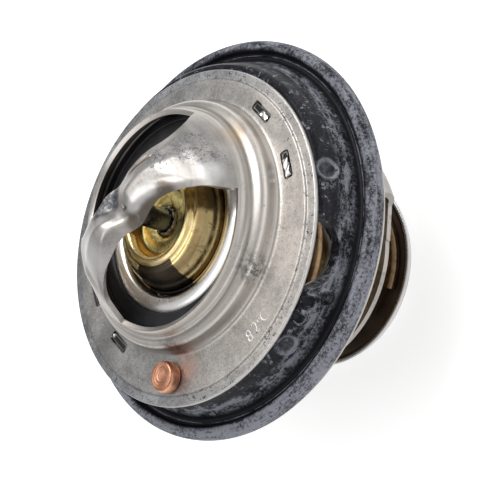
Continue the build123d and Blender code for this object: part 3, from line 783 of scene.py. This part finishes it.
def pressed_frame():
    """The whole pressing: rings for the flange and collar, and a grid for the strap."""
    steps, columns, rows = 360, 2 * root_half_turn, 150
    top = divided(rounded(collar_line, 6), 0.55)
    low = []
    for k, point in enumerate(top):
        before, after = top[max(k - 1, 0)], top[min(k + 1, len(top) - 1)]
        run = Vector((after[0] - before[0], after[1] - before[1])).normalized()
        low.append((point[0] + run.y * sheet, point[1] - run.x * sheet))
    low = [p for p in low if p[0] < 32.45] + [(32.5, -1.42), (33.2, -1.42), (33.45, -1.25)]
    outline = top + low[::-1]
    count = len(outline)
    verts = flange_rings(outline, steps)
    faces = []
    for step in range(steps):
        here, ahead = step * count, (step + 1) % steps * count
        for k in range(count - 1):
            faces.append((here + k, ahead + k, ahead + k + 1, here + k + 1))
        turn = (step + 0.5) * 360 / steps
        inside_root = min(turn, 360 - turn) < root_half_turn or abs(turn - 180) < root_half_turn
        if not inside_root:
            faces.append((here + count - 1, ahead + count - 1, ahead, here))
    grid = strap_grid(rows, columns)
    low_grid = under(grid)
    top_index, low_index = [], []
    for row in range(rows + 1):
        if row in (0, rows):
            start = -root_half_turn if row == 0 else 180 + root_half_turn
            hand = 1 if row == 0 else -1
            ring = [((start + hand * c) % steps) * count for c in range(columns + 1)]
            top_index.append(ring)
            low_index.append([v + count - 1 for v in ring])
        else:
            for points, index in ((grid[row], top_index), (low_grid[row], low_index)):
                index.append(list(range(len(verts), len(verts) + columns + 1)))
                verts += [(x, y, face + rise) for x, y, rise in points]
    for row in range(rows):
        top_here, top_ahead = top_index[row], top_index[row + 1]
        low_here, low_ahead = low_index[row], low_index[row + 1]
        for c in range(columns):
            faces.append((top_here[c], top_here[c + 1], top_ahead[c + 1], top_ahead[c]))
            faces.append((low_here[c], low_ahead[c], low_ahead[c + 1], low_here[c + 1]))
        for c in (0, columns):
            faces.append((top_here[c], top_ahead[c], low_ahead[c], low_here[c]))
    return verts, faces


upper_frame = put(
    "upper_frame", *pressed_frame(), "frame", sheet_finish,
    "bridge_flange", slot="stainless_steel", sharp=34,
)


def cutter_of(*shapes):
    """One mesh of closed shapes, each (verts, faces), to cut with."""
    verts, faces = [], []
    for some_verts, some_faces in shapes:
        faces += [tuple(v + len(verts) for v in f) for f in some_faces]
        verts += some_verts
    return put("cutter", verts, faces, None, sheet_finish)


def cut(piece, cutter):
    """Takes the cutter out of the piece, and removes it."""
    step = piece.modifiers.new("cut", "BOOLEAN")
    step.operation = "DIFFERENCE"
    step.solver = "MANIFOLD"
    step.object = cutter
    bpy.context.view_layer.update()
    evaluated = piece.evaluated_get(bpy.context.evaluated_depsgraph_get())
    mesh = bpy.data.meshes.new_from_object(evaluated)
    piece.modifiers.clear()
    piece.data = mesh
    bpy.data.objects.remove(cutter)


def tube_faces(count):
    """Faces of a closed tube between two rings of points."""
    sides = [(k, (k + 1) % count, (k + 1) % count + count, k + count) for k in range(count)]
    return [tuple(range(count - 1, -1, -1)), tuple(range(count, 2 * count)), *sides]


def prism(outline, low, high):
    """A closed upright prism over an outline of (x, y) points."""
    return [(x, y, z) for z in (low, high) for x, y in outline], tube_faces(len(outline))


def turned(points, angle, x0, y0):
    """Points turned about Z and then moved to (x0, y0)."""
    c, s = cos(angle), sin(angle)
    return [(x0 + x * c - y * s, y0 + x * s + y * c, *rest) for x, y, *rest in points]


def slot_outline(half_width, half_length, corner):
    """A slot with rounded corners, its length across X."""
    outline = []
    for index, (hx, hy) in enumerate(((1, 1), (-1, 1), (-1, -1), (1, -1))):
        for step in range(5):
            turn = radians(90 * index + 22.5 * step)
            outline.append((
                hx * (half_width - corner) + corner * cos(turn),
                hy * (half_length - corner) + corner * sin(turn),
            ))
    return outline


def ring_outline(radius, x0, y0, steps=40):
    return [
        (x0 + radius * cos(TURN * k / steps), y0 + radius * sin(TURN * k / steps))
        for k in range(steps)
    ]


def character(sign, radius, degrees, size):
    """A closed shape of one sign, its top towards the axis."""
    half_height, narrowing = 0.5, 0.82
    curve = bpy.data.curves.new("sign", "FONT")
    curve.body = sign
    curve.size = size
    curve.align_x = "CENTER"
    curve.extrude = half_height
    curve.offset = -0.006 * size
    curve.resolution_u = 3
    holder = bpy.data.objects.new("sign", curve)
    bpy.context.scene.collection.objects.link(holder)
    bpy.context.view_layer.update()
    evaluated = holder.evaluated_get(bpy.context.evaluated_depsgraph_get())
    mesh = bpy.data.meshes.new_from_object(evaluated)
    work = bmesh.new()
    work.from_mesh(mesh)
    bmesh.ops.remove_doubles(work, verts=work.verts, dist=0.004)
    x0, y0, _ = flange_spot(radius, degrees)
    points = [(v.co.x * narrowing, v.co.y, v.co.z) for v in work.verts]
    points = turned(points, radians(degrees + 90), x0, y0)
    verts = [(x, y, face + z + half_height - cut_depth) for x, y, z in points]
    faces = [tuple(v.index for v in f.verts) for f in work.faces]
    work.free()
    bpy.data.objects.remove(holder)
    return verts, faces


cut_depth = 0.16
slot_radius = 27.55
slot_spots = [
    (side * sqrt(slot_radius ** 2 - y * y), y) for side in (1, -1) for y in (5.3, -8.2)
]
slots = [
    prism(turned(slot_outline(1.05, 2.85, 0.55), atan2(y, x), x, y), face - 3, face + 1)
    for x, y in slot_spots
]
pin_hole = prism(ring_outline(2.1, pin_place[0], pin_place[1]), face - 3, face + 1)
cut(upper_frame, cutter_of(*slots, pin_hole))
signs = (                     # the plain temperature: sign, radius, degrees and size
    ("8", 31.2, -84.6, 3.7), ("2", 31.0, -80.7, 3.6),
    ("o", 29.75, -78.1, 1.9), ("C", 30.95, -75.5, 3.3),
)
cut(upper_frame, cutter_of(*[character(*sign) for sign in signs]))
dress(upper_frame, sheet_finish, 34)


def tab_curl(x0, y0, seed, curled_from, curl):
    """The clinched end of a tab: low and flat at one end, curled up in ridges at the other."""
    phase = random.Random(seed).uniform(0, 6)
    half_width, length, depth = 0.62, 4.9, 0.6
    across, along = 10, 34
    verts, faces = [], []
    for a in range(along + 1):
        t = a / along
        for c in range(across + 1):
            s = c / across * 2 - 1
            start = smooth(curled_from, curled_from + 0.18, t)
            lift = start * curl * (1 - 0.5 * s)
            fold = curl * 0.3 * sin(16 * t + 2.5 * s + phase) * start
            edge = 0.35 * max(abs(s) - 0.7, 0) + 0.5 * max(abs(t - 0.5) - 0.42, 0)
            pull = 1 - 0.18 * smooth(0.55, 1.0, t) * (1 + sin(9 * t + phase))
            rise = face - 0.12 + lift + fold - edge
            verts.append((s * half_width * pull, (0.5 - t) * length, rise))
    for a in range(along):
        for c in range(across):
            k = a * (across + 1) + c
            faces.append((k, k + 1, k + across + 2, k + across + 1))
    base = [(x, y, face - depth) for x, y, _ in verts]
    count = len(verts)
    faces += [tuple(v + count for v in f[::-1]) for f in faces]
    rim = (
        list(range(across + 1))
        + [a * (across + 1) + across for a in range(1, along + 1)]
        + [along * (across + 1) + c for c in range(across - 1, -1, -1)]
        + [a * (across + 1) for a in range(along - 1, 0, -1)]
    )
    for here, ahead in zip(rim, rim[1:] + rim[:1]):
        faces.append((here, ahead, ahead + count, here + count))
    return turned(verts + base, atan2(y0, x0), x0, y0), faces


# where along each tab its end starts to curl, and how far it curls up
tab_curls = ((0.42, 0.34), (0.12, 0.26), (0.5, 0.3), (0.82, 0.22))
for index, ((x, y), (curled_from, curl)) in enumerate(zip(slot_spots, tab_curls)):
    put(
        f"tab_curl_{index + 1}", *tab_curl(x, y, 3 + index, curled_from, curl), "frame",
        clinched_finish, slot="stainless_steel", sharp=50,
    )


# -------- seal ring
rubber_line = (
    (29.95, -1.95), (29.95, -1.46), (33.05, -1.46, 0.3), (33.75, -2.3, 0.4), (34.95, -5.7, 0.8),
    (35.15, -6.6, 0.5), (35.75, -8.2, 0.7), (36.55, -9.38, 0.7), (37.22, -9.4, 0.1),
    (37.3, -9.12, 0.1), (37.45, -9.36, 0.1), (37.85, -9.2, 0.4), (38.3, -8.22, 0.4),
    (39.35, -8.14, 0.5), (40.45, -8.95, 0.9), (40.58, -10.2, 0.4), (40.55, -11.0, 0.6),
    (39.6, -12.02, 0.5), (34.62, -12.07), (34.48, -11.9), (31.8, -3.9), (30.3, -2.1),
)
inlet_angle = radians(-50)
# torn rubber beside the inlet: across it, rise, half width, half height and how far it stands out
flaps = (
    (-8.9, -3.6, 1.7, 1.8, 1.0), (-12.2, -3.2, 1.2, 1.5, 0.7), (-6.9, -6.3, 1.1, 1.3, 0.8),
)


def turn_past(angle, other):
    """How far an angle is past another, within half a turn either way."""
    return (angle - other + pi) % TURN - pi


def rubber_shape(radius, height, angle):
    """Sags and small faults of the moulding."""
    skin_low = -9.6           # the skin and its ridge lie over this rise
    mark_radius, mark_edge, skin_radius, flash_edge = 34.3, 2.05, 35, 7.1
    rise = height - face
    wave = 0.05 * sin(angle * 5 + 1) + 0.04 * sin(angle * 11 + 2)
    if 33.2 < radius and rise > -11:
        radius += wave * (1 if radius < 40.0 else 0.2)
    if 35.6 < radius < 40.2 and rise > skin_low:
        height += wave * 0.6
    if 33.0 < radius < 35.9 and rise > -8.0:
        for _, degrees, mark_rise in pin_marks:
            across = turn_past(angle, radians(degrees)) * mark_radius
            gap = hypot(across, (rise - mark_rise) * 1.06)
            radius += 0.42 * exp(-((gap - mark_edge) / 0.26) ** 2) - 0.3 * smooth(2.0, 1.5, gap)
    across = turn_past(angle, inlet_angle) * skin_radius
    gap = hypot(across, rise)
    if radius < 37.0 and rise > skin_low:
        flash = exp(-((gap - flash_edge) / 0.45) ** 2)
        ragged = 0.5 + 0.3 * sin(angle * 47) + 0.2 * sin(angle * 83 + rise * 3)
        radius += 0.35 * flash * ragged
        for centre, drop, width, tall, out in flaps:
            lump = hypot((across - centre) / width, (rise - drop) / tall)
            radius += out * exp(-((lump - 1.0) / 0.3) ** 2) - 0.35 * smooth(1.0, 0.5, lump)
    nick = hypot((angle - radians(11.5)) * 39 / 0.35, (rise + 8.4) / 0.5)
    if radius > 38.0:
        height -= 0.3 * exp(-nick * nick)
    return radius, height


rubber_outline = [(r, face + rise) for r, rise in divided(rounded(rubber_line, 4), 0.42)]
seal_mesh = put(
    "seal_moulding", *lathe(rubber_outline, 720, rubber_shape), "frame", seal_finish,
    "seal_ring", slot="seal_rubber", sharp=40,
)


def inlet_bore(radius, start, end, steps=56):
    """A level cylinder along the inlet."""
    out = Vector((cos(inlet_angle), sin(inlet_angle), 0))
    side = Vector((-out.y, out.x, 0))
    verts = []
    for reach in (start, end):
        for k in range(steps):
            turn = TURN * k / steps
            wobble = radius * (1 + 0.012 * sin(5 * turn) + 0.01 * sin(9 * turn + 1))
            level = Vector((0, 0, face + sin(turn) * wobble))
            verts.append(tuple(out * reach + side * cos(turn) * wobble + level))
    return verts, tube_faces(steps)


rubber_bore, steel_bore = 6.9, 7.3
pocket = prism(ring_outline(3.0, pin_place[0], pin_place[1]), face - 12.55, face + 3)
cut(seal_mesh, cutter_of(inlet_bore(rubber_bore, 24, 44)))
cut(seal_mesh, cutter_of(pocket))
dress(seal_mesh, seal_finish, 40)

carrier_line = (
    (25.6, -1.02), (29.15, -1.02, 0.3), (31.72, -3.7, 0.3), (34.4, -12.12, 0.3), (39.2, -12.12),
    (39.2, -12.98), (33.62, -13.0, 0.3), (30.88, -3.98, 0.3), (28.85, -1.88, 0.3), (25.6, -1.88),
    (25.6, -1.02),
)
steel_ring = put(
    "steel_ring",
    *lathe([(r, face + rise) for r, rise in divided(rounded(carrier_line, 3), 1.2)][:-1], 240),
    "frame", bare_finish, "seal_carrier", slot="stainless_steel",
)
cut(steel_ring, cutter_of(inlet_bore(steel_bore, 24, 44)))
cut(steel_ring, cutter_of(pocket, *slots))
dress(steel_ring, bare_finish)


# -------- springs
def coil(foot_radius, top_radius, foot, top, turns, start, wire):
    """A swept coil with a closed part at each end."""
    per_turn, ring, closed_turns = 72, 16, 0.6
    whole = turns + 2 * closed_turns
    steps = round(whole * per_turn)
    path = []
    for step in range(steps + 1):
        turn = whole * step / steps
        share = min(max((turn - closed_turns) / turns, 0), 1)
        ease = 0.6 * share + 0.4 * share * share * (3 - 2 * share)
        radius = foot_radius + (top_radius - foot_radius) * ease
        angle = radians(start) + TURN * turn
        rise = foot + (top - foot) * ease
        path.append(Vector((radius * cos(angle), radius * sin(angle), rise)))
    verts, faces = [], []
    for index, point in enumerate(path):
        ahead = (path[min(index + 1, steps)] - path[max(index - 1, 0)]).normalized()
        out = Vector((point.x, point.y, 0)).normalized()
        up = ahead.cross(out).normalized()
        out = up.cross(ahead)
        for k in range(ring):
            turn = TURN * k / ring
            verts.append(tuple(point + (out * cos(turn) + up * sin(turn)) * wire))
    for index in range(steps):
        for k in range(ring):
            near, after = index * ring, (k + 1) % ring
            faces.append((near + k, near + after, near + ring + after, near + ring + k))
    faces.append(tuple(range(ring)))
    faces.append(tuple(len(verts) - 1 - k for k in range(ring)))
    return verts, faces


main_coil = put(
    "main_coil", *coil(17.6, 17.65, 14.35, 44.35, 3.0, 0, 1.3), "valve", wire_finish,
    "main_spring", slot="spring_steel", sharp=45,
)
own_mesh(main_coil)
rear_coil = put(
    "rear_coil", *coil(17.4, 6.4, 2.2, 8.3, 1.75, -55, 1.15), "valve", wire_finish,
    "bypass_spring", slot="spring_steel", sharp=45,
)
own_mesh(rear_coil)


# -------- valve
def turned_piece(name, outline, steps, body, finish, stands_for, slot, pitch, shape=None):
    """A piece turned from an outline (radius, rise over the flange face, reach of the corner)."""
    whole = divided(rounded((*outline, outline[0]), 5), pitch)
    line = [(r, face + rise) for r, rise in whole]
    put(name, *lathe(line, steps, shape), body, finish, stands_for, slot=slot, sharp=38)


def dome_shape(radius, height, angle):
    """Tool waves and small dents of the spun dome."""
    if radius > 9.0 and height > face + 3.0:
        height += 0.03 * sin(radius * 5.5) + 0.02 * sin(angle * 7 + radius)
    if radius < 6.4 and height > face + 4.5:
        height += 0.05 * sin(radius * 3 + angle * 2) * smooth(6.4, 5.4, radius)
    return radius, height


turned_piece(
    "cover_dome",
    (
        (3.02, -2.0), (3.02, 4.7, 0.2), (3.9, 5.0, 0.5), (6.3, 5.0, 0.6), (6.75, 5.5, 0.4),
        (7.15, 6.75, 0.4), (7.75, 7.62, 0.5), (8.45, 7.8, 0.5), (9.1, 7.55, 0.5), (9.5, 7.15, 0.4),
        (10.9, 6.7, 1.2), (12.45, 4.85, 1.2), (13.1, 3.1, 0.8), (13.22, 2.2), (13.22, -2.0),
    ),
    180, "valve", brass_finish, "capsule_cover", "brass", 0.35, dome_shape,
)


def gland_shape(radius, height, angle):
    """The gland's ragged upper edge."""
    if height > face + 4.8:
        ragged = 0.5 + 0.5 * sin(angle * 4 + 1) * sin(angle * 7)
        height += 0.32 * ragged
        radius += 0.16 * sin(angle * 9 + 2) * (1 if radius > 2.6 else 0)
    return radius, height


turned_piece(
    "gland_ring",
    (
        (2.24, -2.0), (2.24, 4.9, 0.1), (2.4, 5.25, 0.1), (2.75, 5.25, 0.1), (2.96, 4.95, 0.1),
        (2.96, -2.0),
    ),
    96, "valve", gland_finish, "piston_gland", "gland_bronze", 0.3, gland_shape,
)
turned_piece(
    "head_cup",
    (
        (7.7, -2.62), (13.24, -2.62), (13.26, 1.95, 0.1), (13.4, 2.35, 0.1), (13.72, 2.38, 0.1),
        (13.98, 2.05, 0.2), (13.98, -3.55, 0.4), (13.5, -3.93, 0.3), (9.5, -3.93, 0.5),
        (9.0, -4.6, 0.5), (9.0, -35.6, 0.2), (8.75, -36.3, 0.4), (2.54, -36.48), (2.54, -34.5),
        (0.0, -34.5), (0.0, -33.32), (7.68, -33.32, 0.5),
    ),
    160, "valve", brass_finish, "capsule_cup", "brass", 0.9,
)
turned_piece(
    "seat_ring",
    (
        (9.6, -4.82), (15.25, -4.85, 0.5), (15.28, 2.2, 0.5), (15.9, 2.66, 0.5), (16.9, 2.28, 0.4),
        (17.6, 1.38, 0.4), (21.6, 1.38), (21.6, 2.3), (18.1, 2.32, 0.6), (17.3, 3.14, 0.7),
        (15.95, 3.5, 0.9), (14.36, 3.15, 0.8), (14.34, -3.8, 0.3), (14.2, -3.96), (9.6, -3.96),
    ),
    240, "valve", polished_finish, "valve_plate", "polished_steel", 0.4,
)
turned_piece(
    "valve_pad",
    (
        (18.2, 0.62), (22.6, 0.6, 0.4), (23.4, 1.15, 0.3), (23.4, 2.85, 0.3), (22.5, 3.36, 0.5),
        (20.9, 3.36, 0.2), (20.75, 3.22, 0.1), (20.55, 3.36, 0.1), (18.3, 3.36, 0.4),
        (17.6, 3.02, 0.3), (17.62, 2.88), (18.2, 2.34), (21.63, 2.34), (21.63, 1.36),
        (18.2, 1.36),
    ),
    240, "valve", pad_finish, "valve_rubber", "valve_rubber", 0.35,
)
turned_piece(
    "rear_disc",
    (
        (2.6, -42.58, 0.1), (2.6, -43.58, 0.1), (9.3, -43.58, 0.8), (12.85, -45.98, 0.8),
        (20.45, -45.99, 0.6), (21.46, -43.85, 0.3), (21.2, -43.52, 0.2), (20.62, -43.6, 0.3),
        (20.05, -45.0, 0.7), (13.15, -45.0, 0.8), (9.7, -42.58, 0.8),
    ),
    240, "bypass", disc_finish, "bypass_disc", "stainless_steel", 0.4,
)


pin_line = (
    (0.0, 2.45), (0.9, 2.46, 0.2), (2.25, 2.72, 0.35), (2.8, 2.58, 0.3), (3.02, 2.02, 0.3),
    (3.08, 0.55, 0.3), (2.85, 0.06, 0.2), (1.5, 0.06), (1.5, -6.6), (0.0, -6.6),
)
head_rise = 2.0               # the faced part of the pin's head lies over this


def spiral_cut(radius, rise, angle):
    """The spiral left by facing the head, which runs out at the rim."""
    if rise > head_rise:
        spiral = (radius * 1.9 - angle / TURN) % 1
        rise += (0.035 * cos(TURN * spiral) - 0.02) * smooth(2.9, 2.2, radius)
    return radius, rise


def pin_shape():
    """The pin, with the middle of its spiral a little off its own axis."""
    verts, faces = lathe(divided(rounded(pin_line, 4), 0.16), 72, spiral_cut, closed=False)
    moved = []
    for x, y, rise in verts:
        shift = 1 - smooth(0.0, 2.6, hypot(x, y)) if rise > head_rise else 0
        x, y = x + 0.35 * shift, y + 0.3 * shift
        moved.append((pin_place[0] + x, pin_place[1] + y, face + rise))
    return moved, faces


put("pin_head", *pin_shape(), "jiggle", copper_finish, "jiggle_pin", slot="copper", sharp=40)


# -------- floor, light and camera
def pale_floor(place):
    return {
        "Base Color": (0.66, 0.66, 0.66, 1),
        "Roughness": 0.6,
        "Emission Color": (1.0, 1.0, 1.0, 1),
        "Emission Strength": 0.66,
    }


bpy.ops.mesh.primitive_plane_add(size=3.0, location=(0, 0, 0))
floor = bpy.context.object
floor.name = "floor"
dress(floor, finish_of("pale floor", pale_floor))

aim = Vector((0, 0, face)) * MM
camera_place = aim + Vector((115.47, -152.53, 166.7)) * MM
camera_back = Vector((0.43589, -0.57845, 0.68949)).normalized()
camera_up = Vector((0.65127, 0.73149, 0.20195)).normalized()
camera_right = camera_up.cross(camera_back).normalized()
camera_up = camera_back.cross(camera_right)
camera_data = bpy.data.cameras.new("camera")
camera_data.lens = 97.5
camera_data.sensor_width = 36.0
camera_data.clip_start = 0.005
camera = bpy.data.objects.new("camera", camera_data)
camera.matrix_world = Matrix.Translation(camera_place) @ Matrix(
    (camera_right, camera_up, camera_back)
).transposed().to_4x4()
bpy.context.scene.collection.objects.link(camera)
bpy.context.scene.camera = camera


def soft_light(name, way, size, power, distance=0.8):
    """A soft light that looks at the middle of the flange face."""
    data = bpy.data.lights.new(name, "AREA")
    data.shape = "RECTANGLE"
    data.size, data.size_y = size
    data.energy = power
    light = bpy.data.objects.new(name, data)
    way = way.normalized()
    light.location = aim + way * distance
    light.rotation_mode = "QUATERNION"
    light.rotation_quaternion = (-way).to_track_quat("-Z", "Y")
    bpy.context.scene.collection.objects.link(light)


def towards(right, up, back):
    """A direction given as it looks through the camera."""
    return camera_right * right + camera_up * up + camera_back * back


soft_light("overhead", Vector((0.4, 0.5, 1.0)), (0.46, 0.46), 3.4)
soft_light("front", towards(-0.9, -0.1, 0.6), (0.3, 0.6), 0.8)

world = bpy.data.worlds.new("studio")
bpy.context.scene.world = world
world.use_nodes = True
studio = Line(world.node_tree)
world.node_tree.nodes.clear()
sky = studio.node("ShaderNodeTexCoord", out=0)
across, depth, height = (sky.axis(index) for index in range(3))
back = (depth - across * 0.75).between(-0.2, 0.7)
horizon = back.tint((1.0, 1.0, 1.0, 1), (0.4, 0.405, 0.415, 1))
low_sky = height.between(0.05, 0.4).tint(horizon, (0.42, 0.425, 0.43, 1))
glow = height.between(0.6, 0.92).tint(low_sky, (0.82, 0.82, 0.82, 1))
background = studio.node("ShaderNodeBackground", {"Color": glow, "Strength": 1.0})
studio.node("ShaderNodeOutputWorld", {"Surface": background})
bpy.context.scene.view_settings.view_transform = "Standard"
